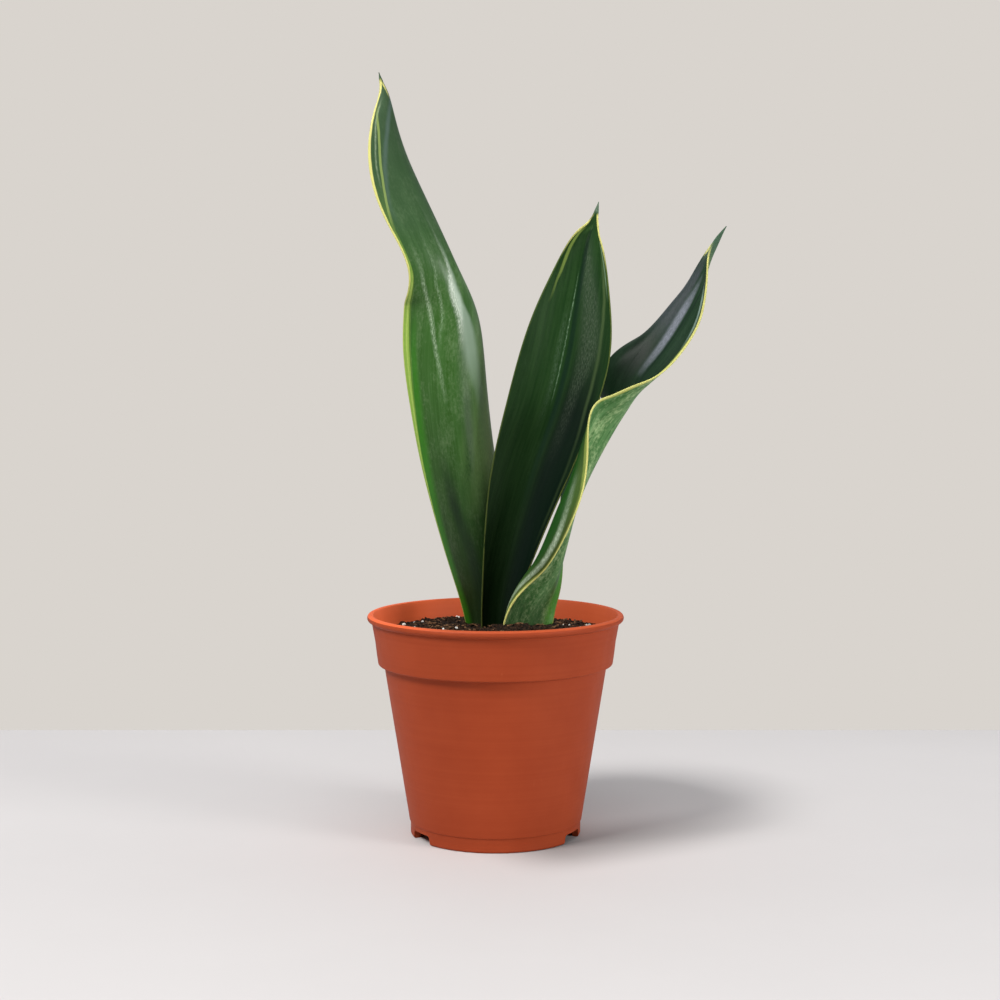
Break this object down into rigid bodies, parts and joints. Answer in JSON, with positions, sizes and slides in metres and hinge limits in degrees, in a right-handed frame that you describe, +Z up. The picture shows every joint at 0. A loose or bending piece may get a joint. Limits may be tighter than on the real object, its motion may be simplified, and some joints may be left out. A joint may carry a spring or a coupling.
{
  "type": "potted snake plant",
  "caption": "Snake plant whose tall, twisted, narrow-margined leaves stand in potting mix in a tapering plastic nursery pot with a deep collar.",
  "frame": {"origin": "on the floor, below the middle of the plant's overall width and depth; the pot's axis stands 23.8 mm to the -X side of it", "axes": "+Z up out of the pot; -Y towards the eye, which sees the middle leaf's inner face; +X to the side that the twisted leaf leans to"},
  "size_m": [0.1676, 0.12, 0.3552],
  "materials": {
    "pot_plastic": "satin moulded orange-brown plastic",
    "potting_mix": "crumbly dark peat and bark with white grains",
    "rhizome": "matt pale root",
    "leaf_grey_green": "waxy leaf, satin",
    "leaf_dark_green": "waxy leaf, satin",
    "leaf_mottled_green": "waxy leaf, satin"
  },
  "bodies": {
    "root": {"pot": "pot_plastic", "potting_mix": "potting_mix", "rhizome": "rhizome", "leaf_left": "leaf_grey_green", "leaf_centre": "leaf_dark_green", "leaf_right": "leaf_mottled_green"}
  },
  "joints": []
}
